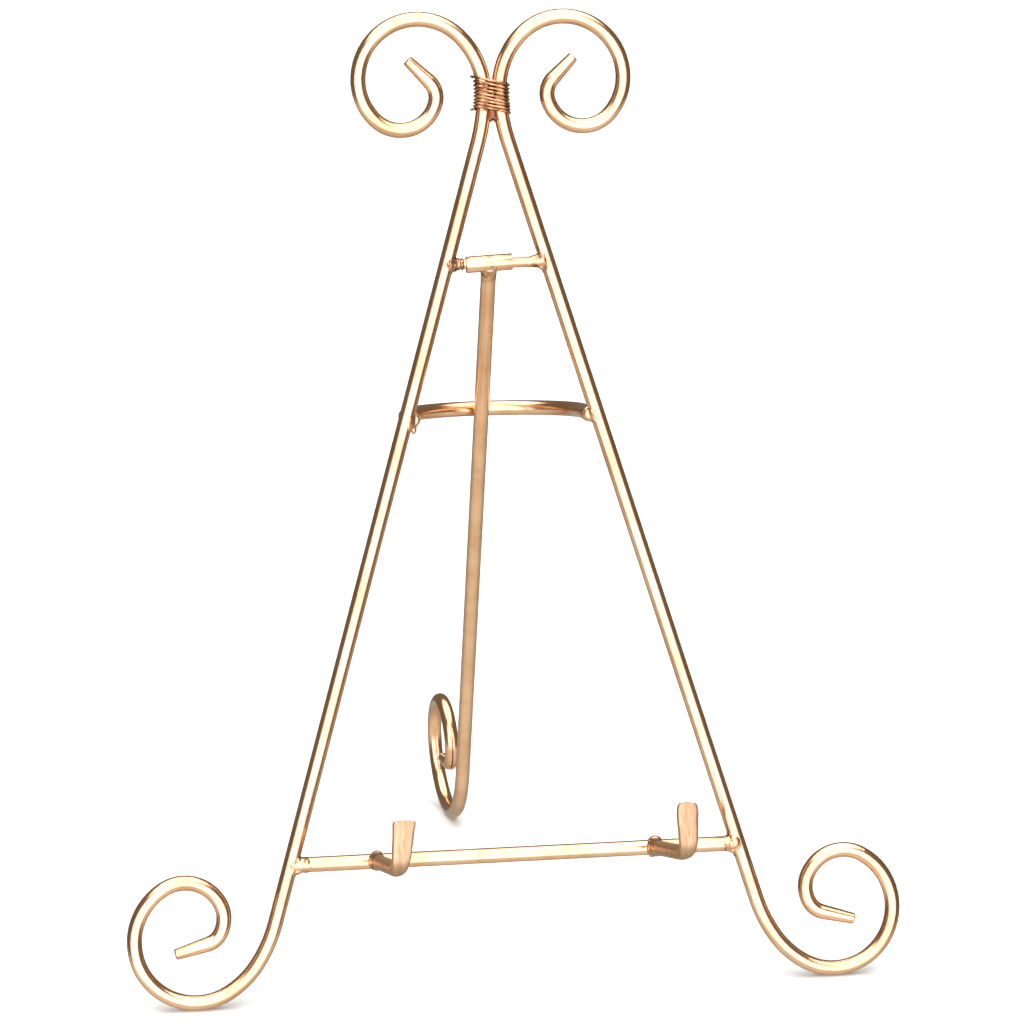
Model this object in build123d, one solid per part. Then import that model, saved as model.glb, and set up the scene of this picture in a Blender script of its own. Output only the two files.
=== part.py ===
from build123d import *

import os
from math import asin, atan2, cos, degrees, radians, sin, tan

# A folding tabletop easel of brazed round steel rod. Millimetres and degrees.
# +X is to the right of someone facing the easel, +Y is behind it, +Z is up.
# The origin is on the table, under the middle of the easel's bounding box.

# Stock
rod_d = 4.76  # 3/16 in rod, used for everything but the pin, sleeve and wire
pin_d = 3.18  # 1/8 in rod
sleeve_d = 5.2
sleeve_bore = 4.05  # a loose tube on the pin
wire_d = 0.9

# Front frame, measured up its own plane from the table
lean = 14.4  # the frame leans back from the vertical
splay = 16.6  # each rail from the frame's centre line
rail_apex = 282.4  # where the rails' straight centre lines would cross
crossbar_height = 43.6
bow_height = 180.8
pin_height = 228.7

# Scrolls as (radius, turn) arcs, from the straight rail to the tip
foot_start = 25.9
foot_arcs = ((43.5, 35 - splay), (29, 25), (19.2, 180), (12.5, 95), (9.9, 55), (6.6, 45))
foot_tip = 10.6
top_start = 266.7
top_arcs = ((54, splay), (24.5, 45), (18.9, 130), (17.3, 50), (11.4, 120), (6.7, 60))
top_tip = 9.6
tip_d = 3.4  # the hammered end of each scroll
tip_round = 0.5

# Wire binding round the rails at their neck
wrap_turns = 9
wrap_pitch = 1.16
wrap_top = 285.2
wrap_gap = 0.08  # lets the flat turns pass the curved rails

# Bow that stops the rear leg
bow_radius = 28.2
bow_dip = 11.6  # the bow slopes down this much towards the back
stop_gap = 0.12  # between the opened leg and the bow

# Rear leg and its sleeve
sleeve_length = 14.4
sleeve_side = -2.5  # the sleeve sits left of centre on its pin
leg_rake = 22.3  # the leg slopes back from the vertical
leg_tilt = 3.3  # the loose sleeve lets the leg lean to the right
leg_yaw = 3.4
fold_gap = 0.3  # between the folded leg and the crossbar

# Picture hooks
hook_side = 44.3
hook_reach = 35.0  # crossbar centre to tab centre
hook_rise = 16.8  # above the level
hook_yaws = (4.2, 6.4)  # left and right hook, both turned to the right
hook_bend = 4.5
tab_width = 6.8
tab_thickness = 2.5
tab_corner = 1.0
tab_heights = (14.2, 15.6)  # left and right, above the hook rod's centre line
tab_blend = 4.5  # where the round rod turns into the flat tab

# Brazing fillets, as round beads cut back by the rods they join
fillet_d = 7.0
pin_fillet_d = 5.8
fillet_reach = 2.2  # from a rail's centre line to the bead's centre
fillet_set = 0.4  # from a rod's surface to the centre of a bead on it
neck_fillet_d = 4.6
neck_fillet_height = 275.6

rod_r = rod_d / 2
slope = tan(radians(splay))


def fall(arcs, heading):
    # Height lost along the arcs before they turn level.
    total = 0
    for radius, turn in arcs:
        level = min(heading + turn, 0)
        total += radius * (cos(radians(level)) - cos(radians(heading)))
        heading = level
    return total


def rail_offset(height):
    # Distance of a straight rail's centre line from the frame's centre line.
    return (rail_apex - height) * slope


def polar(angle):
    return Vector(cos(radians(angle)), sin(radians(angle)), 0)


def round_bar(path, diameter=rod_d):
    start = Plane(origin=path @ 0, z_dir=path % 0)
    return sweep(start * Circle(diameter / 2), path=path)


def straight_bar(start, end, diameter=rod_d, end_diameter=None):
    start, end = Vector(start), Vector(end)
    length = (end - start).length
    place = Plane(origin=start, z_dir=end - start).location * Location((0, 0, length / 2))
    if end_diameter is None:
        return place * Cylinder(diameter / 2, length)
    return place * Cone(diameter / 2, end_diameter / 2, length)


def scroll(start, heading, arcs, way=1):
    # A chain of tangent arcs, with the point and direction where it ends.
    point, direction = Vector(start), polar(heading)
    chain = []
    for radius, turn in arcs:
        arc = JernArc(point, direction, radius, way * turn)
        chain.append(arc.edge())
        point, direction = arc @ 1, arc % 1
    return chain, point, direction


def blunt_tip(point, direction, length):
    tip = straight_bar(point, point + direction * length, rod_d, tip_d)
    rims = tip.edges().filter_by(GeomType.CIRCLE).sort_by(SortBy.RADIUS)
    return fillet(rims[0], tip_round)


def biggest(shape):
    return shape.solids().sort_by(SortBy.VOLUME)[-1]


def join(*shapes):
    return biggest(shapes[0].fuse(*shapes[1:]).clean())


def cut_back(shape, *others):
    return biggest(shape.cut(*others))


def bead(centre, diameter, *rods):
    # The ball's poles point up and down the frame, clear of the rods.
    ball = Location(centre, (90, 0, 0)) * Sphere(diameter / 2)
    return cut_back(ball, rods[0].fuse(*rods[1:]))


def left_of(shape):
    return mirror(shape, about=Plane.YZ)


# Pieces of the front frame, drawn in its own plane: X right, Y up the frame, Z to the front
frame_base = rod_r - (foot_start - fall(foot_arcs, splay - 90)) * cos(radians(lean))
frame_plane = Plane(
    origin=(0, 0, frame_base), x_dir=(1, 0, 0), z_dir=(0, -cos(radians(lean)), sin(radians(lean)))
)


def rail_shank(side):
    # The straight part of a rail, which the brazed joints are on.
    foot_corner = (side * rail_offset(foot_start), foot_start, 0)
    top_corner = (side * rail_offset(top_start), top_start, 0)
    return straight_bar(foot_corner, top_corner)


def rail_neck(side):
    # The bend of a rail under the wire binding.
    arcs = scroll((rail_offset(top_start), top_start), splay + 90, top_arcs[:1], -1)[0]
    neck = round_bar(Wire(arcs))
    return neck if side > 0 else left_of(neck)


def cross_bar(height, diameter=rod_d):
    # A level bar that reaches both rails' centre lines.
    reach = rail_offset(height)
    return straight_bar((-reach, height, 0), (reach, height, 0), diameter)


def make_rail():
    foot_corner = (rail_offset(foot_start), foot_start)
    top_corner = (rail_offset(top_start), top_start)
    foot, foot_end, foot_way = scroll(foot_corner, splay - 90, foot_arcs)
    top, top_end, top_way = scroll(top_corner, splay + 90, top_arcs, -1)
    body = round_bar(Wire([*top, Line(foot_corner, top_corner).edge(), *foot]))
    return join(body, blunt_tip(foot_end, foot_way, foot_tip), blunt_tip(top_end, top_way, top_tip))


def make_wrap():
    # Closed turns round both rails, each as wide as the rails are at its height.
    neck_height = top_start + top_arcs[0][0] * sin(radians(splay))
    neck_offset = rail_offset(top_start) - top_arcs[0][0] * (1 - cos(radians(splay)))
    turns = []
    for turn in range(wrap_turns):
        height = wrap_top - turn * wrap_pitch
        bend = top_arcs[0][0] if height < neck_height else top_arcs[1][0]
        offset = neck_offset + (height - neck_height) ** 2 / (2 * bend)
        level = Plane(origin=(0, height, 0), x_dir=(1, 0, 0), z_dir=(0, 1, 0))
        outline = level * SlotCenterToCenter(2 * offset, rod_d + 2 * wrap_gap + wire_d)
        turns.append(biggest(round_bar(outline.face().outer_wire(), wire_d)))
    return turns


def make_hook(side, hook_yaw, tab_height):
    # A round rod reaches to the front, bends up and ends in a hammered flat tab.
    lift = radians(hook_rise - lean)
    forward = Vector(sin(radians(hook_yaw)), cos(radians(hook_yaw)) * sin(lift), cos(lift))
    root = Vector(side, crossbar_height, 0)
    place = Plane(origin=root, x_dir=forward, z_dir=forward.cross(Vector(0, 1, 0)))
    run = Line((0, 0), (hook_reach - hook_bend, 0))
    turn = JernArc(run @ 1, run % 1, hook_bend, 90)
    rod = round_bar(Wire([run.edge(), turn.edge()]))
    level = Plane(origin=turn @ 1, x_dir=(0, 0, 1), z_dir=(0, 1, 0))
    flat = Plane(origin=(turn @ 1) + Vector(0, tab_blend, 0), x_dir=(0, 0, 1), z_dir=(0, 1, 0))
    section = RectangleRounded(tab_width, tab_thickness, tab_corner)
    blend = loft([level * Circle(rod_r), flat * section])
    tab = extrude(flat * section, tab_height - hook_bend - tab_blend)
    return place.location * join(rod, blend, tab)


right_rail = make_rail()
left_rail = left_of(right_rail)
shanks = [rail_shank(-1), rail_shank(1)]
crossbar_core = cross_bar(crossbar_height)
pin_core = cross_bar(pin_height, pin_d)
lower_crossbar = cut_back(crossbar_core, *shanks)
hinge_pin = cut_back(pin_core, *shanks)
hook_sides = (-hook_side, hook_side)
hooks = [cut_back(make_hook(*one), crossbar_core) for one in zip(hook_sides, hook_yaws, tab_heights)]

# Rear leg and sleeve, drawn in the leg's own plane: X to the back, Y up, Z to the left
hinge = frame_plane.from_local_coords((0, pin_height, 0))
yaw, tilt = radians(leg_yaw), radians(leg_tilt)
back = Vector(-sin(yaw), cos(yaw), 0)
up = Vector(-sin(tilt) * cos(yaw), -sin(tilt) * sin(yaw), cos(tilt))
leg_top = hinge + Vector(sleeve_side, 0, 0)
leg_plane = Plane(origin=leg_top, x_dir=back, z_dir=back.cross(up))
leg_fall = fall(foot_arcs, leg_rake - 90)
leg_length = ((leg_top.Z - rod_r) / cos(tilt) - leg_fall) / cos(radians(leg_rake))
leg_way = back * sin(radians(leg_rake)) - up * cos(radians(leg_rake))
leg_side = Vector(0, leg_way.Y, leg_way.Z).normalized()
pin_way = Vector(1, 0, 0)
sleeve_way = pin_way * cos(tilt) - leg_side * sin(tilt)


def make_leg():
    knee = polar(leg_rake - 90) * leg_length
    foot, foot_end, foot_way = scroll(knee, leg_rake - 90, foot_arcs)
    body = round_bar(Wire([Line((0, 0), knee).edge(), *foot]))
    return leg_plane.location * join(body, blunt_tip(foot_end, foot_way, foot_tip))


def sleeve_bar(diameter):
    reach = sleeve_way * (sleeve_length / 2)
    return straight_bar(leg_top - reach, leg_top + reach, diameter)


sleeve_core = sleeve_bar(sleeve_d)
hinge_sleeve = cut_back(sleeve_core, sleeve_bar(sleeve_bore))
rear_leg = cut_back(make_leg(), sleeve_core)
leg_fillet = bead(leg_top + leg_side * (sleeve_d / 2 + fillet_set), fillet_d, sleeve_core, rear_leg)

# The bow is as deep as the opened leg needs
rest_angle = lean + degrees(atan2(leg_side.Y, -leg_side.Z))
leg_at_bow = (pin_height - bow_height) * sin(radians(rest_angle))
bow_depth = (rod_d + stop_gap + leg_at_bow) / cos(radians(bow_dip - lean + rest_angle))
fold_angle = rest_angle - degrees(asin((rod_d + fold_gap) / (pin_height - crossbar_height)))


def make_bow():
    flat = radians(lean - bow_dip)
    plane = Plane(origin=(0, bow_height, 0), x_dir=(1, 0, 0), z_dir=(0, cos(flat), sin(flat)))
    side = bow_depth - bow_radius
    left = Line((-bow_radius, 0), (-bow_radius, side))
    arc = JernArc(left @ 1, left % 1, bow_radius, -180)
    right = Line(arc @ 1, (bow_radius, 0))
    return plane.location * round_bar(Wire([left.edge(), arc.edge(), right.edge()]))


bow_core = make_bow()
leg_stop_bow = cut_back(bow_core, *shanks)


frame_nodes = {
    "left_rail": left_rail,
    "right_rail": right_rail,
    "neck_wire_wrap": make_wrap(),
    "neck_fillet": bead((0, neck_fillet_height, 0), neck_fillet_d, rail_neck(-1), rail_neck(1)),
    "hinge_pin": hinge_pin,
    "leg_stop_bow": leg_stop_bow,
    "lower_crossbar": lower_crossbar,
    "left_hook": hooks[0],
    "right_hook": hooks[1],
}
for name, side, shank, hook in zip(("left", "right"), (-1, 1), shanks, hooks):
    pin_point = (side * (rail_offset(pin_height) - fillet_reach), pin_height, 0)
    bow_point = (side * bow_radius, bow_height, -rod_r - fillet_set)
    bar_point = (side * (rail_offset(crossbar_height) - fillet_reach), crossbar_height, 0)
    hook_point = (side * hook_side, crossbar_height, rod_r + fillet_set)
    frame_nodes[f"{name}_pin_fillet"] = bead(pin_point, pin_fillet_d, shank, pin_core)
    frame_nodes[f"{name}_bow_fillet"] = bead(bow_point, fillet_d, shank, bow_core)
    frame_nodes[f"{name}_crossbar_fillet"] = bead(bar_point, fillet_d, shank, crossbar_core)
    frame_nodes[f"{name}_hook_fillet"] = bead(hook_point, fillet_d, crossbar_core, hook)

leg_nodes = {"hinge_sleeve": hinge_sleeve, "rear_leg": rear_leg, "leg_fillet": leg_fillet}

nodes = {}
for name, piece in frame_nodes.items():
    solids = piece if isinstance(piece, list) else [piece]
    nodes[name] = Compound([frame_plane.location * solid for solid in solids])
for name, piece in leg_nodes.items():
    nodes[name] = Compound([piece])

middle = Compound(list(nodes.values())).bounding_box().center()
shift = Location((0, -middle.Y, 0))

os.makedirs("parts", exist_ok=True)
for name, piece in nodes.items():
    export_step(shift * piece, f"parts/{name}.step")

box = (shift * Compound(list(nodes.values()))).bounding_box()
print("box", box.min, box.max)
print("hinge", shift * Location(hinge), "fold", round(fold_angle, 2), "bow depth", round(bow_depth, 2))
print("leg length", round(leg_length, 2), "rest angle", round(rest_angle, 2))
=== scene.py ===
from math import cos, pi, radians, sin, tan

import bmesh
import bpy
from mathutils import Matrix, Vector, noise


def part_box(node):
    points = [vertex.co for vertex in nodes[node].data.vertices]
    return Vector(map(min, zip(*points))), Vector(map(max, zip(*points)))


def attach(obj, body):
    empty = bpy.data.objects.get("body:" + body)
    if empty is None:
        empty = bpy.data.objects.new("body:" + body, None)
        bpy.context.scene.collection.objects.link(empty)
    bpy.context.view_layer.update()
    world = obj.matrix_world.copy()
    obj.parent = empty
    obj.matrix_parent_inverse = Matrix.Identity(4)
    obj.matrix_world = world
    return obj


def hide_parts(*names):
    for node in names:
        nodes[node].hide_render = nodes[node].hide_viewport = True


# Folding tabletop easel of gold-lacquered steel rod. Pieces are worked in millimetres
# on the easel's own plane (x right, y up the rails, z to the front) and placed in metres.
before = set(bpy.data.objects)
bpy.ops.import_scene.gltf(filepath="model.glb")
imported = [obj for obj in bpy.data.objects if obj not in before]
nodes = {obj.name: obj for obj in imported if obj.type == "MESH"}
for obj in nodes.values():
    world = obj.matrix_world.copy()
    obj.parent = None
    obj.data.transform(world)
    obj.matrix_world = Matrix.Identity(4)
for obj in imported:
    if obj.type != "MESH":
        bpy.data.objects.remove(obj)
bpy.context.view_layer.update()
print("frame loaded:", len(nodes), "nodes")

easel = {
    "rodRadius": 2.38,
    "pinRadius": 1.59,
    "lean": 14.4,           # degrees, the plane leans back from the vertical
    "railApex": 282.4,      # height up the plane where the rails' lines would cross
    "splay": 16.6,          # degrees, each rail from the middle
    "crossbarHeight": 43.6,
    "hookSide": 44.3,       # each hook's root from the middle of the crossbar
    "bowHeight": 180.8,
    "pinHeight": 228.7,
}


def middle(node):
    low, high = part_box(node)
    return (low + high) / 2


# the easel's plane, from the two bars that cross it
crossbarMiddle = middle("lower_crossbar")
upWay = (middle("hinge_pin") - crossbarMiddle).normalized()
rightWay = Vector((1, 0, 0))
planeOrigin = crossbarMiddle - upWay * easel["crossbarHeight"] / 1000
planeTurn = Matrix((rightWay, upWay, rightWay.cross(upWay))).transposed().to_4x4()
millimetres = Matrix.Scale(0.001, 4)
easelPlane = Matrix.Translation(planeOrigin) @ planeTurn @ millimetres


def railPoint(side, height):
    return Vector((side * (easel["railApex"] - height) * tan(radians(easel["splay"])), height, 0))


def railWay(side):
    return Vector((-side * sin(radians(easel["splay"])), cos(radians(easel["splay"])), 0))


def hexColour(code):
    # sRGB hex to linear
    parts = [int(code[i:i + 2], 16) / 255 for i in (1, 3, 5)]
    return (*[p / 12.92 if p <= 0.04045 else ((p + 0.055) / 1.055) ** 2.4 for p in parts], 1)


def addNode(tree, kind, inputs=None, stops=None, **settings):
    # adds a node with its settings, and links or values for its inputs
    node = tree.nodes.new(kind)
    for name, value in settings.items():
        setattr(node, name, value)
    for name, value in (inputs or {}).items():
        if isinstance(value, bpy.types.NodeSocket):
            tree.links.new(value, node.inputs[name])
        else:
            node.inputs[name].default_value = value
    for index, (position, colour) in enumerate(stops or []):
        ramp = node.color_ramp.elements
        stop = ramp[index] if index < len(ramp) else ramp.new(position)
        stop.position = position
        stop.color = colour
    return node


def grey(value):
    return (value, value, value, 1)


def newMaterial(name):
    material = bpy.data.materials.new(name)
    material.use_nodes = True
    material.node_tree.nodes.clear()
    return material, material.node_tree


def finishMaterial(tree, shader):
    addNode(tree, "ShaderNodeOutputMaterial", {"Surface": shader.outputs["BSDF"]})


# Gold-coloured lacquer sprayed on drawn steel rod: a clear gold mirror, a little soft,
# with a faint orange peel and thinner, browner patches where the rod was handled.
goldLacquer = {
    "gold": "#EBC094",
    "thin": "#D9A878",
    "dark": "#8C5A30",
    "patchSize": 14,      # mm between patches
    "peelSize": 1.1,      # mm, coarser than real peel so that it shows
    "speckSize": 2.38,    # mm
    "roughness": (0.14, 0.22),
}


def makeGoldLacquer():
    look = goldLacquer
    material, tree = newMaterial("goldLacquerOnSteelRod")
    place = addNode(tree, "ShaderNodeTexCoord").outputs["Object"]
    patches = addNode(tree, "ShaderNodeTexNoise", {
        "Vector": place, "Scale": 1000 / look["patchSize"], "Detail": 5.0, "Roughness": 0.6})
    tone = addNode(tree, "ShaderNodeValToRGB", {"Fac": patches.outputs["Fac"]}, stops=[
        (0.3, hexColour(look["thin"])), (0.58, hexColour(look["gold"])), (1, hexColour(look["gold"]))])
    specks = addNode(tree, "ShaderNodeTexNoise", {
        "Vector": place, "Scale": 1000 / look["speckSize"], "Detail": 3.0, "Roughness": 0.7})
    speckMask = addNode(tree, "ShaderNodeValToRGB", {"Fac": specks.outputs["Fac"]}, stops=[
        (0.68, grey(0)), (0.78, grey(0.55))])
    colour = addNode(tree, "ShaderNodeMix", {
        "Factor": speckMask.outputs["Color"], "A": tone.outputs["Color"],
        "B": hexColour(look["dark"])}, data_type="RGBA")
    gloss = addNode(tree, "ShaderNodeMapRange", {
        "Value": patches.outputs["Fac"], "From Min": 0.3, "From Max": 0.7,
        "To Min": look["roughness"][1], "To Max": look["roughness"][0]})
    peel = addNode(tree, "ShaderNodeTexNoise", {
        "Vector": place, "Scale": 1000 / look["peelSize"], "Detail": 2.0})
    bump = addNode(tree, "ShaderNodeBump", {
        "Height": peel.outputs["Fac"], "Strength": 0.12, "Distance": 0.0002})
    shader = addNode(tree, "ShaderNodeBsdfPrincipled", {
        "Base Color": colour.outputs["Result"], "Roughness": gloss.outputs["Result"],
        "Normal": bump.outputs["Normal"], "Metallic": 1.0,
        "Coat Weight": 0.2, "Coat Roughness": 0.15})
    finishMaterial(tree, shader)
    return material


# Brazing metal under the same lacquer: brass melted round each joint, so it is lumpy,
# duller than the rod and burnt brown where the flame was.
brazedLacquer = {
    "gold": "#DDB086",
    # this brown is also the painted shade on the rails under the binding wire
    "burnt": "#7E5238",
    "patchSize": 2.6,     # mm
    "grainSize": 0.35,    # mm
    "roughness": (0.24, 0.42),
}


def makeBrazedLacquer(name, burntShare):
    look = brazedLacquer
    material, tree = newMaterial(name)
    place = addNode(tree, "ShaderNodeTexCoord").outputs["Object"]
    patches = addNode(tree, "ShaderNodeTexNoise", {
        "Vector": place, "Scale": 1000 / look["patchSize"], "Detail": 3.0, "Roughness": 0.55})
    tone = addNode(tree, "ShaderNodeValToRGB", {"Fac": patches.outputs["Fac"]}, stops=[
        (burntShare, hexColour(look["burnt"])), (burntShare + 0.18, hexColour(look["gold"]))])
    gloss = addNode(tree, "ShaderNodeMapRange", {
        "Value": patches.outputs["Fac"], "From Min": 0.35, "From Max": 0.6,
        "To Min": look["roughness"][1], "To Max": look["roughness"][0]})
    grain = addNode(tree, "ShaderNodeTexNoise", {
        "Vector": place, "Scale": 1000 / look["grainSize"], "Detail": 2.0})
    bump = addNode(tree, "ShaderNodeBump", {
        "Height": grain.outputs["Fac"], "Strength": 0.25, "Distance": 0.0001})
    shader = addNode(tree, "ShaderNodeBsdfPrincipled", {
        "Base Color": tone.outputs["Color"], "Roughness": gloss.outputs["Result"],
        "Normal": bump.outputs["Normal"], "Metallic": 1.0})
    finishMaterial(tree, shader)
    return material


# Soft binding wire, annealed and lacquered: coppery, satin, darker in random patches.
coppery = {
    "bright": "#D0A070",
    "dull": "#83583A",
    "patchSize": 1.8,     # mm
    "roughness": 0.29,
}


def makeCopperyWire():
    look = coppery
    material, tree = newMaterial("copperyBindingWire")
    place = addNode(tree, "ShaderNodeTexCoord").outputs["Object"]
    patches = addNode(tree, "ShaderNodeTexNoise", {
        "Vector": place, "Scale": 1000 / look["patchSize"], "Detail": 3.0})
    tone = addNode(tree, "ShaderNodeValToRGB", {"Fac": patches.outputs["Fac"]}, stops=[
        (0.36, hexColour(look["dull"])), (0.6, hexColour(look["bright"]))])
    bump = addNode(tree, "ShaderNodeBump", {
        "Height": patches.outputs["Fac"], "Strength": 0.2, "Distance": 0.0001})
    shader = addNode(tree, "ShaderNodeBsdfPrincipled", {
        "Base Color": tone.outputs["Color"], "Normal": bump.outputs["Normal"],
        "Roughness": look["roughness"], "Metallic": 1.0})
    finishMaterial(tree, shader)
    return material


# Hammered and filed steel under lacquer: a satin gold, with file lines along the tab.
hammeredLacquer = {
    "gold": "#C9A67F",
    "low": "#BE9871",
    "lineWidth": 0.5,     # mm across the file lines
    "roughness": (0.45, 0.56),
}


def makeHammeredLacquer():
    look = hammeredLacquer
    material, tree = newMaterial("hammeredAndFiledLacquer")
    place = addNode(tree, "ShaderNodeTexCoord").outputs["Object"]
    # lines run up the tab, so they are narrow across it and long upwards
    along = addNode(tree, "ShaderNodeMapping", {"Vector": place, "Scale": (1, 0.12, 0.12)})
    lines = addNode(tree, "ShaderNodeTexNoise", {
        "Vector": along.outputs["Vector"], "Scale": 1000 / look["lineWidth"] / 2, "Detail": 4.0,
        "Roughness": 0.6})
    tone = addNode(tree, "ShaderNodeValToRGB", {"Fac": lines.outputs["Fac"]}, stops=[
        (0.34, hexColour(look["low"])), (0.56, hexColour(look["gold"]))])
    gloss = addNode(tree, "ShaderNodeMapRange", {
        "Value": lines.outputs["Fac"], "From Min": 0.35, "From Max": 0.65,
        "To Min": look["roughness"][1], "To Max": look["roughness"][0]})
    bump = addNode(tree, "ShaderNodeBump", {
        "Height": lines.outputs["Fac"], "Strength": 0.15, "Distance": 0.0002})
    shader = addNode(tree, "ShaderNodeBsdfPrincipled", {
        "Base Color": tone.outputs["Color"], "Roughness": gloss.outputs["Result"],
        "Normal": bump.outputs["Normal"], "Metallic": 1.0})
    finishMaterial(tree, shader)
    return material


goldMaterial = makeGoldLacquer()
brazedMaterial = makeBrazedLacquer("lacqueredBrazingBrass", 0.34)
rootMaterial = makeBrazedLacquer("mauveBrazingBrass", 0.3)
# brass with more brown patches, for the left hinge pin's joint
brownerBrazedMaterial = makeBrazedLacquer("brownerBrazingBrass", 0.44)
# burnt brass for the neck web, and painted shade for the rails under the binding wire
burntBrazeAndPaintedShadeMaterial = makeBrazedLacquer("burntBrazingBrassAndPaintedShade", 0.5)
wireMaterial = makeCopperyWire()
hammeredMaterial = makeHammeredLacquer()
for node in nodes.values():
    node.data.materials.clear()
    node.data.materials.append(goldMaterial)
print("materials made")


def addPiece(name, mesh, material, node, body="front_frame"):
    # a finished mesh in metres stands for its CAD node and rides with its body
    mesh.materials.clear()
    mesh.materials.append(material)
    mesh.shade_smooth()
    piece = bpy.data.objects.new(name, mesh)
    bpy.context.scene.collection.objects.link(piece)
    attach(piece, body)
    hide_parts(node)
    return piece


def shapedMesh(name, shape, place=easelPlane):
    bmesh.ops.transform(shape, matrix=place, verts=shape.verts)
    bmesh.ops.recalc_face_normals(shape, faces=shape.faces)
    mesh = bpy.data.meshes.new(name)
    shape.to_mesh(mesh)
    shape.free()
    return mesh


def evaluatedMesh(piece):
    # the mesh with its modifiers applied; the working object is removed
    bpy.context.scene.collection.objects.link(piece)
    bpy.context.view_layer.update()
    mesh = bpy.data.meshes.new_from_object(piece.evaluated_get(bpy.context.evaluated_depsgraph_get()))
    bpy.data.objects.remove(piece)
    return mesh


# Binding wire: one length wound from the top left, over the front, down to the bottom left
bindingWire = {
    "radius": 0.42,
    "turns": 9,
    "top": 285.6,          # height up the plane where it starts
    "firstPitch": 1.27,
    "lastPitch": 0.9,
    "firstTilt": 1.05,     # how far each turn drops to the right
    "lastTilt": 0.95,
    "slack": 0.04,
    "wander": 0.14,
    "firstEnd": ((-0.8, 0.3, -0.9), (-0.25, 0.1, -0.5)),  # the two cut ends stand out a little
    "lastEnd": ((-0.3, -0.1, -0.5), (-0.9, -0.3, -1.0)),
    "neckHeight": 282.13,  # where the rails are closest
    "neckOffset": 2.43,
    "bendBelow": 54,
    "bendAbove": 24.5,
    "stepsPerTurn": 60,
}


def neckOffset(height):
    # how far each rail stands from the middle where both bend past each other
    bend = bindingWire["bendBelow"] if height < bindingWire["neckHeight"] else bindingWire["bendAbove"]
    return bindingWire["neckOffset"] + (height - bindingWire["neckHeight"]) ** 2 / (2 * bend)


def wayRound(share, offset, reach):
    # a point part of the way round both rails, from the left end over the front
    straight, quarter = 2 * offset, pi * reach / 2
    walk = (share % 1) * 2 * (straight + 2 * quarter)
    if walk < quarter:
        return -offset - reach * cos(walk / reach), reach * sin(walk / reach)
    if walk < quarter + straight:
        return walk - quarter - offset, reach
    if walk < 3 * quarter + straight:
        turn = (walk - quarter - straight) / reach
        return offset + reach * sin(turn), reach * cos(turn)
    if walk < 3 * quarter + 2 * straight:
        return offset + 3 * quarter + straight - walk, -reach
    turn = (walk - 3 * quarter - 2 * straight) / reach
    return -offset - reach * sin(turn), -reach * cos(turn)


def makeBindingWire():
    wire = bindingWire
    path = []
    for step in range(wire["turns"] * wire["stepsPerTurn"] + 1):
        turns = step / wire["stepsPerTurn"]
        done = turns / wire["turns"]
        drop = turns * (wire["firstPitch"] + (wire["lastPitch"] - wire["firstPitch"]) * done / 2)
        height = wire["top"] - drop
        offset = neckOffset(height)
        slack = wire["slack"] * (1 + noise.noise(Vector((turns * 2.3, 4.1, 0))))
        reach = easel["rodRadius"] + wire["radius"] + slack
        x, z = wayRound(turns, offset, reach)
        tilt = wire["firstTilt"] + (wire["lastTilt"] - wire["firstTilt"]) * done
        wander = wire["wander"] * noise.noise(Vector((turns * 3.1, 0.7, 8.2)))
        path.append(Vector((x, height - tilt * x / (offset + reach) + wander, z)))
    path = ([path[0] + Vector(step) for step in wire["firstEnd"]] + path
            + [path[-1] + Vector(step) for step in wire["lastEnd"]])
    curve = bpy.data.curves.new("bindingWirePath", "CURVE")
    curve.dimensions = "3D"
    curve.bevel_depth = wire["radius"]
    curve.bevel_resolution = 3
    curve.use_fill_caps = True
    spline = curve.splines.new("POLY")
    spline.points.add(len(path) - 1)
    for point, place in zip(spline.points, path):
        point.co = (*place, 1)
    mesh = evaluatedMesh(bpy.data.objects.new("bindingWirePath", curve))
    mesh.transform(easelPlane)
    addPiece("neckBindingWire", mesh, wireMaterial, "neck_wire_wrap")


makeBindingWire()
print("binding wire wound")

# Brazed joints. A bar is (start, end, start radius, end radius), a lump is (centre, half sizes)
# and a dent is (centre, half sizes, depth), all in millimetres on the easel's plane.
brazing = {
    "voxel": 0.17,         # mm, how finely the bars and lumps are melted into one
    "grain": 0.07,         # mm of unevenness
    "railSet": 0.4,        # the skin sits this much to the rail's inner side
}


def meltedJoint(name, node, bars, lumps, smoothing, dents=(), material=brazedMaterial,
                body="front_frame"):
    shape = bmesh.new()
    for start, end, startRadius, endRadius in bars:
        start, end = Vector(start), Vector(end)
        turn = (end - start).to_track_quat("Z", "Y").to_matrix().to_4x4()
        bmesh.ops.create_cone(
            shape, cap_ends=True, segments=36, radius1=startRadius, radius2=endRadius,
            depth=(end - start).length, matrix=Matrix.Translation((start + end) / 2) @ turn)
    for centre, size in lumps:
        bmesh.ops.create_icosphere(
            shape, subdivisions=3, radius=1,
            matrix=Matrix.Translation(centre) @ Matrix.Diagonal((*size, 1)))
    rough = bpy.data.meshes.new(name)
    shape.to_mesh(rough)
    shape.free()
    piece = bpy.data.objects.new(name + "Rough", rough)
    melt = piece.modifiers.new("melt", "REMESH")
    melt.mode = "VOXEL"
    melt.voxel_size = brazing["voxel"]
    flow = piece.modifiers.new("flow", "SMOOTH")
    flow.factor = 0.5
    flow.iterations = smoothing
    melted = evaluatedMesh(piece)
    shape = bmesh.new()
    shape.from_mesh(melted)
    for vert in shape.verts:
        swell = noise.noise(vert.co * 0.9 + Vector((3, 1, 7))) + 0.5 * noise.noise(vert.co * 2.1)
        vert.co += vert.normal * brazing["grain"] * swell
    for centre, size, depth in dents:
        for vert in shape.verts:
            away = vert.co - Vector(centre)
            near = sum((away[i] / size[i]) ** 2 for i in range(3))
            if near < 1:
                vert.co -= vert.normal * depth * (1 - near)
    mesh = shapedMesh(name, shape)
    return addPiece(name, mesh, material, node, body)


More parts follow.
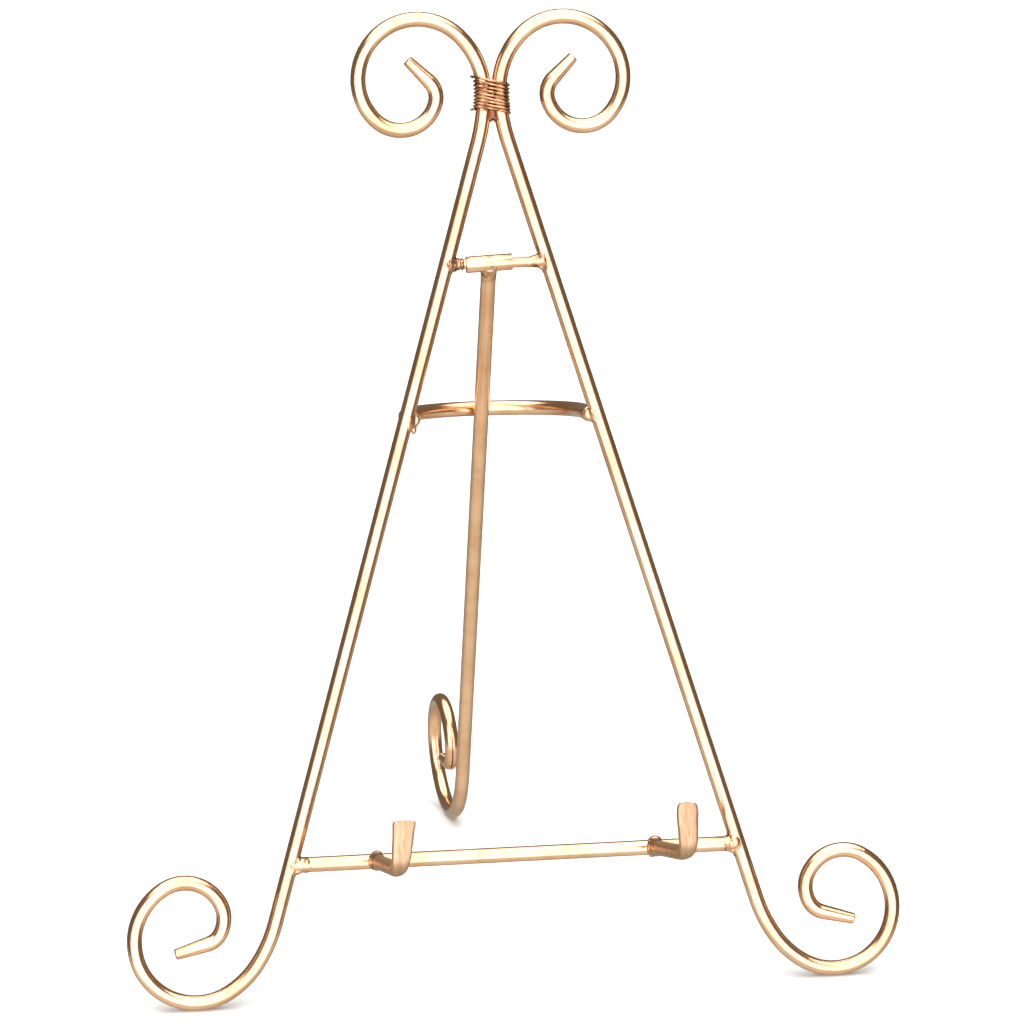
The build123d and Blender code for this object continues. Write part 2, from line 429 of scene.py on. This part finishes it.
def railStub(side, height, below, above, radius):
    # a skin on the rail's inner side, thickest at the joint and sunk into the rod at its ends
    centre, way = railPoint(side, height) - Vector((side * brazing["railSet"], 0, 0)), railWay(side)
    thin = easel["rodRadius"] - 0.25
    return [(centre, centre - way * below, radius, thin), (centre, centre + way * above, radius, thin)]


rod, pin = easel["rodRadius"], easel["pinRadius"]


def bowEnd(centre):
    # a nose over the bow's cut end and a skin that runs back along it
    return [(centre + Vector((0, 0, -0.2)), centre + Vector((0, 0, 0.75)), rod + 0.16, 1.7),
            (centre + Vector((0, 0, 0)), centre + Vector((0, 0.3, -6.0)), rod + 0.16, rod - 0.14)]


# hinge pin, left: a blob on the rail, then two small rings on the pin, all in a brass with more brown
# patches
joint = railPoint(-1, easel["pinHeight"])
meltedJoint(
    "leftPinBraze", "left_pin_fillet",
    bars=railStub(-1, joint.y, 2.6, 3.0, rod + 0.14)
    + [(joint + Vector((0.8, 0, 0)), joint + Vector((3.4, 0, 0)), 2.9, pin + 0.3),
       (joint + Vector((3.2, 0, 0)), joint + Vector((6.0, 0, 0)), pin + 0.08, pin - 0.05)],
    lumps=[(joint + Vector((2.2, 1.2, 0.6)), (1.0, 1.2, 1.2)),
           (joint + Vector((2.3, -1.4, 0.5)), (1.1, 1.0, 1.3)),
           (joint + Vector((3.9, 0.05, 0.1)), (0.42, 2.1, 2.1)),
           (joint + Vector((5.0, -0.1, 0)), (0.42, 2.05, 2.05))],
    smoothing=4, material=brownerBrazedMaterial)

# hinge pin, right: a long smooth flare, higher on its upper side
joint = railPoint(1, easel["pinHeight"])
meltedJoint(
    "rightPinBraze", "right_pin_fillet",
    bars=railStub(1, joint.y, 3.0, 3.2, rod + 0.12)
    + [(joint + Vector((-1.2, 0.6, 0)), joint + Vector((-3.2, 0.3, 0)), 3.3, 2.15),
       (joint + Vector((-3.1, 0.3, 0)), joint + Vector((-5.6, 0.05, 0)), 2.2, pin + 0.12),
       (joint + Vector((-5.4, 0.05, 0)), joint + Vector((-8.0, 0, 0)), pin + 0.14, pin - 0.08)],
    lumps=[(joint + Vector((-1.9, -1.6, 0.8)), (1.1, 0.9, 1.0))],
    smoothing=22)

# crossbar, left: a bright flare on the rail, a groove, then a burnt bump on the bar's end
joint = railPoint(-1, easel["crossbarHeight"])
meltedJoint(
    "leftCrossbarBraze", "left_crossbar_fillet",
    bars=railStub(-1, joint.y, 3.2, 3.6, rod + 0.14)
    + [(joint + Vector((4.3, 0, 0)), joint + Vector((7.4, 0, 0)), rod + 0.16, rod - 0.12),
       (joint + Vector((2.0, 0, 0)), joint + Vector((4.4, 0, 0)), rod - 0.1, rod + 0.14)],
    lumps=[(joint + Vector((2.2, 1.5, 1.0)), (1.0, 1.8, 1.2)),
           (joint + Vector((2.0, -1.7, 0.6)), (1.3, 1.3, 1.3)),
           (joint + Vector((4.9, 0.9, 2.0)), (0.95, 0.95, 0.6))],
    smoothing=6)

# crossbar, right: the metal ran over the front of the rail and left a pit
joint = railPoint(1, easel["crossbarHeight"])
meltedJoint(
    "rightCrossbarBraze", "right_crossbar_fillet",
    bars=railStub(1, joint.y, 3.8, 4.4, rod + 0.14)
    + [(joint + Vector((-2.0, 0.1, 0)), joint + Vector((-5.0, 0, 0)), rod + 0.45, rod - 0.02),
       (joint + Vector((-4.6, 0, 0)), joint + Vector((-7.0, 0, 0)), rod + 0.03, rod - 0.12)],
    lumps=[(joint + Vector((-1.5, 0.6, 1.7)), (1.9, 2.4, 1.25)),
           (joint + Vector((-1.9, 2.5, 0.7)), (1.2, 1.5, 1.2)),
           (joint + Vector((-2.0, -1.9, 0.9)), (1.5, 1.2, 1.2))],
    dents=[(joint + Vector((-2.6, 0.3, 2.7)), (0.45, 1.2, 1.6), 1.1)],
    smoothing=10)

# bow, left: a long drip down the rail's inner side
joint = railPoint(-1, easel["bowHeight"])
meltedJoint(
    "leftBowBraze", "left_bow_fillet",
    bars=railStub(-1, joint.y - 1.0, 2.6, 3.0, rod + 0.1)
    + bowEnd(joint + Vector((2.1, 0, 0))),
    lumps=[(joint + Vector((2.4, -1.9, -1.3)), (1.2, 1.5, 1.2)),
           (joint + Vector((2.5, -3.1, -1.1)), (0.9, 1.6, 1.0))],
    smoothing=14, material=rootMaterial)

# bow, right: a small ripple under the bar
joint = railPoint(1, easel["bowHeight"])
meltedJoint(
    "rightBowBraze", "right_bow_fillet",
    bars=railStub(1, joint.y, 2.6, 2.4, rod + 0.08)
    + bowEnd(joint - Vector((2.1, 0, 0))),
    lumps=[(joint + Vector((-2.0, -1.5, -1.6)), (1.1, 1.2, 1.2)),
           (joint + Vector((-2.1, 0.0, -4.4)), (2.62, 2.62, 0.5))],
    smoothing=20, material=rootMaterial)

# neck: a burnt web between the rails, and a dark brown skin on both rails under the wire, which is painted
# shade that makes the rails between the wire's turns look shaded
shadeSkinHeights = (276.0, 279.0, 282.1, 285.0)
shadeSkin = [(Vector((side * neckOffset(low), low, 0)), Vector((side * neckOffset(high), high, 0)),
         rod + 0.22, rod + 0.22) for side in (-1, 1) for low, high in zip(shadeSkinHeights, shadeSkinHeights[1:])]
neckWeb = Vector((0, 275.2, 0))
meltedJoint(
    "neckBraze", "neck_fillet",
    bars=shadeSkin + [(neckWeb + Vector((0, -1.7, 0.5)), neckWeb + Vector((0, 2.6, 0.7)), 1.5, 1.5),
                 (neckWeb + Vector((0, 2.0, 0.2)), neckWeb + Vector((0, 8.6, 0.2)), 1.4, 1.1)],
    lumps=[(neckWeb + Vector((-0.8, -1.5, 0.7)), (0.9, 1.2, 1.1)),
           (neckWeb + Vector((0.9, -1.3, 0.8)), (0.9, 1.5, 1.1)),
           (neckWeb + Vector((0.2, 0.6, 1.2)), (1.0, 1.6, 0.8))],
    smoothing=4, material=burntBrazeAndPaintedShadeMaterial)
print("frame joints brazed")

# Picture hooks: round rod that bends up and is hammered into a tab, wider to its top
pictureHook = {
    "reach": 35.0,
    "rise": 16.8,
    "bend": 4.5,
    "segments": 32,
    "hammer": 0.06,        # mm, depth of the hammer's facets
    # each tab by hand: turned to the right, leaning right, sagging, its top, half width, corner cut
    "left": {"side": -1, "yaw": 4.2, "lean": 7.2, "droop": 0.9, "top": 14.2, "width": 3.55, "cut": 0.3},
    "right": {"side": 1, "yaw": 6.4, "lean": 0.5, "droop": 0.2, "top": 15.6, "width": 3.2, "cut": 1.0},
}


def hookPlace(side, yaw):
    # x along the hook rod to the front, y up, z to the left, in the easel plane's millimetres
    lift, yaw = radians(pictureHook["rise"] - easel["lean"]), radians(yaw)
    forward = Vector((sin(yaw), cos(yaw) * sin(lift), cos(yaw) * cos(lift)))
    left = forward.cross(Vector((0, 1, 0))).normalized()
    turn = Matrix((forward, left.cross(forward), left)).transposed().to_4x4()
    return Matrix.Translation((side * easel["hookSide"], easel["crossbarHeight"], 0)) @ turn


def hookSections(droop, top, width, cut):
    # (along, up, turn of the section in degrees, half width, half thickness, squareness)
    bend, reach = pictureHook["bend"], pictureHook["reach"]
    start = reach - bend
    sections = [(along, -droop * along / reach, 0, rod, rod, 2) for along in (0, 9, 18, start - 4)]
    sections.append((start - 1.5, -droop, 0, rod + 0.08, rod - 0.1, 2.2))
    for turn, half, thick, square in ((20, 2.55, 1.95, 2.6), (45, 2.7, 1.65, 3.2), (70, 2.85, 1.45, 4),
                                      (90, 3.0, 1.32, 5)):
        sections.append((start + bend * sin(radians(turn)),
                         bend * (1 - cos(radians(turn))) - droop, turn, half, thick, square))
    for up, half, thick in ((5.5, 3.08, 1.27), (8, 3.2, 1.22), (10.5, 3.34, 1.16), (12.4, 3.45, 1.12)):
        sections.append((reach, up, 90, half, thick, 6))
    sections.append((reach, top - 1, 90, width, 1.1, 6))
    sections.append((reach, top - 0.25, 90, width - cut * 0.35, 1.05, 6))
    sections.append((reach, top, 90, width - cut, 0.85, 6))
    return sections


def makeHook(hand):
    hook = pictureHook
    name, tab = hand + "PictureHook", hook[hand]
    shape = bmesh.new()
    loops = []
    for along, up, tilt, half, thick, square in hookSections(
            tab["droop"], tab["top"], tab["width"], tab["cut"]):
        ring = bmesh.ops.create_circle(shape, segments=hook["segments"], radius=1)["verts"]
        turn = Matrix.Rotation(radians(tilt), 4, "Z")
        shift = -tan(radians(tab["lean"])) * (up + tab["droop"])
        for vert in ring:
            # circle to rounded rectangle
            a, b = vert.co.x, vert.co.y
            stretch = (abs(a) ** square + abs(b) ** square) ** (-1 / square)
            across, deep = a * stretch * half, b * stretch * thick
            crown = 0.3 * (1 - (across / half) ** 2) if up > tab["top"] - 1 else 0
            vert.co = turn @ Vector((crown, -deep, 0)) + Vector((along, up, across + shift))
        loops.append({edge for vert in ring for edge in vert.link_edges})
    for first, second in zip(loops, loops[1:]):
        bmesh.ops.bridge_loops(shape, edges=list(first | second))
    bmesh.ops.holes_fill(shape, edges=[edge for edge in shape.edges if edge.is_boundary], sides=0)
    bmesh.ops.recalc_face_normals(shape, faces=shape.faces)
    rough = bpy.data.meshes.new(name)
    shape.to_mesh(rough)
    shape.free()
    piece = bpy.data.objects.new(name + "Rough", rough)
    rounding = piece.modifiers.new("rounding", "SUBSURF")
    rounding.levels = rounding.render_levels = 2
    smooth = evaluatedMesh(piece)
    shape = bmesh.new()
    shape.from_mesh(smooth)
    for vert in shape.verts:
        # hammer facets, long up the tab
        struck = noise.noise(Vector((vert.co.z * 0.75 + tab["side"] * 3, vert.co.y * 0.3, vert.co.x * 0.3)))
        fine = noise.noise(Vector((vert.co.z * 1.9, vert.co.y * 0.5, tab["side"] * 9)))
        share = min(max((vert.co.y - 1) / 4, 0), 1)
        vert.co += vert.normal * hook["hammer"] * share * (1.6 * struck + 0.7 * fine)
    mesh = shapedMesh(name, shape, easelPlane @ hookPlace(tab["side"], tab["yaw"]))
    addPiece(name, mesh, hammeredMaterial, hand + "_hook")


makeHook("left")
makeHook("right")

# hook roots: domes of braze on top of the crossbar and burnt lumps beside the rod
root = Vector((-easel["hookSide"], easel["crossbarHeight"], 0))
meltedJoint(
    "leftHookBraze", "left_hook_fillet",
    bars=[(root + Vector((-3.6, 0, 0)), root, rod - 0.16, rod + 0.12),
          (root, root + Vector((3.6, 0, 0)), rod + 0.12, rod - 0.16),
          (root + Vector((0, 0, 1.4)), root + Vector((0.45, 0.1, 6.5)), rod + 0.5, rod - 0.25)],
    lumps=[(root + Vector((0.4, 1.9, -0.2)), (1.9, 1.45, 1.7))],
    smoothing=14, material=rootMaterial)
root = Vector((easel["hookSide"], easel["crossbarHeight"], 0))
meltedJoint(
    "rightHookBraze", "right_hook_fillet",
    bars=[(root + Vector((-4.4, 0, 0)), root + Vector((-0.4, 0, 0)), rod - 0.16, rod + 0.12),
          (root + Vector((-0.4, 0, 0)), root + Vector((3.8, 0, 0)), rod + 0.12, rod - 0.16),
          (root + Vector((-0.1, 0, 1.4)), root + Vector((0.65, 0.2, 7.0)), rod + 0.55, rod - 0.25)],
    lumps=[(root + Vector((0.2, 2.1, -0.2)), (2.2, 1.6, 1.8)),
           (root + Vector((-1.3, -2.2, 1.3)), (1.0, 0.85, 0.9)),
           (root + Vector((-2.3, -0.3, 1.5)), (1.2, 1.4, 1.0))],
    smoothing=12, material=rootMaterial)
print("picture hooks forged")

# Hinge sleeve and the top of the leg, which lean a little to the right
legLean = {"rake": 22.3, "tilt": 3.3, "yaw": 3.4}
hingeSleeve = {
    "length": 14.4,
    "outer": 2.6,          # radii
    "inner": 2.02,
    "mouth": 2.42,         # both mouths widen where the drill was eased
    "mouthDepth": 0.6,
    "rim": 0.07,
    "segments": 48,
}

yaw, tilt, rake = (radians(legLean[key]) for key in ("yaw", "tilt", "rake"))
backWay = Vector((-sin(yaw), cos(yaw), 0))
legUp = Vector((-sin(tilt) * cos(yaw), -sin(tilt) * sin(yaw), cos(tilt)))
legWay = backWay * sin(rake) - legUp * cos(rake)
legSide = Vector((0, legWay.y, legWay.z)).normalized()
sleeveWay = rightWay * cos(tilt) - legSide * sin(tilt)
sleeveMiddle = middle("hinge_sleeve")


def makeSleeve():
    sleeve = hingeSleeve
    shape = bmesh.new()
    half = sleeve["length"] / 2
    deep = half - sleeve["mouthDepth"]
    corners = [shape.verts.new((sleeve[wall], 0, along)) for wall, along in (
        ("mouth", -half), ("outer", -half), ("outer", half), ("mouth", half),
        ("inner", deep), ("inner", -deep))]
    outline = [shape.edges.new((corners[i - 1], corners[i])) for i in range(len(corners))]
    bmesh.ops.spin(shape, geom=corners + outline, axis=(0, 0, 1), cent=(0, 0, 0), angle=2 * pi,
                   steps=sleeve["segments"], use_merge=True)
    bmesh.ops.remove_doubles(shape, verts=shape.verts, dist=0.001)
    rims = [edge for edge in shape.edges
            if abs(edge.verts[0].co.z - edge.verts[1].co.z) < 0.01 and len(edge.link_faces) == 2]
    bmesh.ops.bevel(shape, geom=rims, offset=sleeve["rim"], segments=2, profile=0.5,
                    affect="EDGES", material=-1)
    turn = sleeveWay.to_track_quat("Z", "Y").to_matrix().to_4x4()
    mesh = shapedMesh("hingeSleeve", shape, Matrix.Translation(sleeveMiddle) @ turn @ millimetres)
    addPiece("hingeSleeve", mesh, goldMaterial, "hinge_sleeve", "rear_leg_assembly")


makeSleeve()

# leg braze, in the easel plane's millimetres like the others
toPlane = easelPlane.inverted()
top = toPlane @ sleeveMiddle
tube = hingeSleeve["outer"]
legDown = (toPlane.to_3x3() @ (legWay * 0.001)).normalized()
sleeveAlong = (toPlane.to_3x3() @ (sleeveWay * 0.001)).normalized()
meltedJoint(
    "legBraze", "leg_fillet",
    bars=[(top + legDown * 1.0, top + legDown * 3.6, 2.9, rod + 0.18),
          (top + legDown * 3.4, top + legDown * 7.5, rod + 0.2, rod - 0.12),
          (top, top + sleeveAlong * 4.6, tube + 0.04, tube - 0.12),
          (top, top - sleeveAlong * 4.4, tube + 0.04, tube - 0.12)],
    lumps=[],
    smoothing=14, body="rear_leg_assembly")
print("leg joint brazed")

# Studio: a pale table, a wide bright front, an overhead softbox and a dark back of the room
studio = {
    "cameraAzimuth": -10.0,
    "cameraElevation": 16.578,
    "cameraRoll": 0.643,
    "cameraDistance": 1.5,
    "cameraTarget": (-0.004384, -0.080861, 0.15760),
    "lens": 173.2,
    "tableSize": 9.0,
    "frontGlow": (3.0, 2.85, 3.35, 1),
    "frontEdge": (0.46, 0.78),    # how far toward the camera it begins and is full
    "frontFoot": (-0.55, -0.25),
    "topGlow": (3.4, 3.35, 3.5, 1),
    "topEdge": (0.68, 0.86),
    "tableGlow": grey(0.95),
    "tableEdge": (-0.22, -0.42),
    "roomDark": (0.2, 0.17, 0.14, 1),
}


def makeTable():
    shape = bmesh.new()
    bmesh.ops.create_grid(shape, x_segments=1, y_segments=1, size=studio["tableSize"])
    mesh = bpy.data.meshes.new("table")
    shape.to_mesh(mesh)
    shape.free()
    table = bpy.data.objects.new("table", mesh)
    bpy.context.scene.collection.objects.link(table)
    table.visible_glossy = False
    material, tree = newMaterial("whiteTableTop")
    finishMaterial(tree, addNode(tree, "ShaderNodeBsdfPrincipled", {
        "Base Color": hexColour("#E2E8E1"), "Roughness": 0.8, "Specular IOR Level": 0.0}))
    mesh.materials.append(material)


def makeRoom():
    world = bpy.data.worlds.new("studioRoom")
    world.use_nodes = True
    tree = world.node_tree
    tree.nodes.clear()
    way = addNode(tree, "ShaderNodeTexCoord").outputs["Generated"]
    turn = radians(studio["cameraAzimuth"])
    height = addNode(tree, "ShaderNodeSeparateXYZ", {"Vector": way}).outputs["Z"]
    front = addNode(tree, "ShaderNodeVectorMath", {0: way, 1: (sin(turn), -cos(turn), 0)},
                    operation="DOT_PRODUCT").outputs["Value"]

    # each edge fades a light in over a range of directions
    edges = {
        "tableEdge": (height, *studio["tableEdge"], 0.0),
        "tableFront": (front, -0.7, 0.5, 0.35),  # a third as bright at the back of the room
        "frontEdge": (front, *studio["frontEdge"], 0.0),
        "frontFoot": (height, *studio["frontFoot"], 0.0),
        "topEdge": (height, *studio["topEdge"], 0.0),
    }
    masks = {}
    for name, (way, low, high, least) in edges.items():
        masks[name] = addNode(tree, "ShaderNodeMapRange", {
            "Value": way, "From Min": low, "From Max": high, "To Min": least, "To Max": 1.0},
            interpolation_type="SMOOTHSTEP").outputs["Result"]
    for first, second in (("tableEdge", "tableFront"), ("frontEdge", "frontFoot")):
        masks[first] = addNode(tree, "ShaderNodeMath", {0: masks[first], 1: masks[second]},
                               operation="MULTIPLY").outputs[0]
    # the lights are laid over the dark room one after another
    glow = studio["roomDark"]
    for light, edge in (("tableGlow", "tableEdge"), ("frontGlow", "frontEdge"), ("topGlow", "topEdge")):
        glow = addNode(tree, "ShaderNodeMix", {"Factor": masks[edge], "A": glow, "B": studio[light]},
                       data_type="RGBA").outputs["Result"]
    shine = addNode(tree, "ShaderNodeBackground", {"Color": glow})
    addNode(tree, "ShaderNodeOutputWorld", {"Surface": shine.outputs["Background"]})
    bpy.context.scene.world = world


def makeCamera():
    turn, lift = radians(studio["cameraAzimuth"]), radians(studio["cameraElevation"])
    away = Vector((sin(turn) * cos(lift), -cos(turn) * cos(lift), sin(lift)))
    data = bpy.data.cameras.new("camera")
    data.lens = studio["lens"]
    data.sensor_width = 36
    camera = bpy.data.objects.new("camera", data)
    bpy.context.scene.collection.objects.link(camera)
    facing = away.to_track_quat("Z", "Y").to_matrix().to_4x4()
    roll = Matrix.Rotation(radians(studio["cameraRoll"]), 4, "Z")
    place = Vector(studio["cameraTarget"]) + away * studio["cameraDistance"]
    camera.matrix_world = Matrix.Translation(place) @ facing @ roll
    bpy.context.scene.camera = camera


makeTable()
makeRoom()
makeCamera()
bpy.context.scene.view_settings.view_transform = "Standard"
print("studio set")
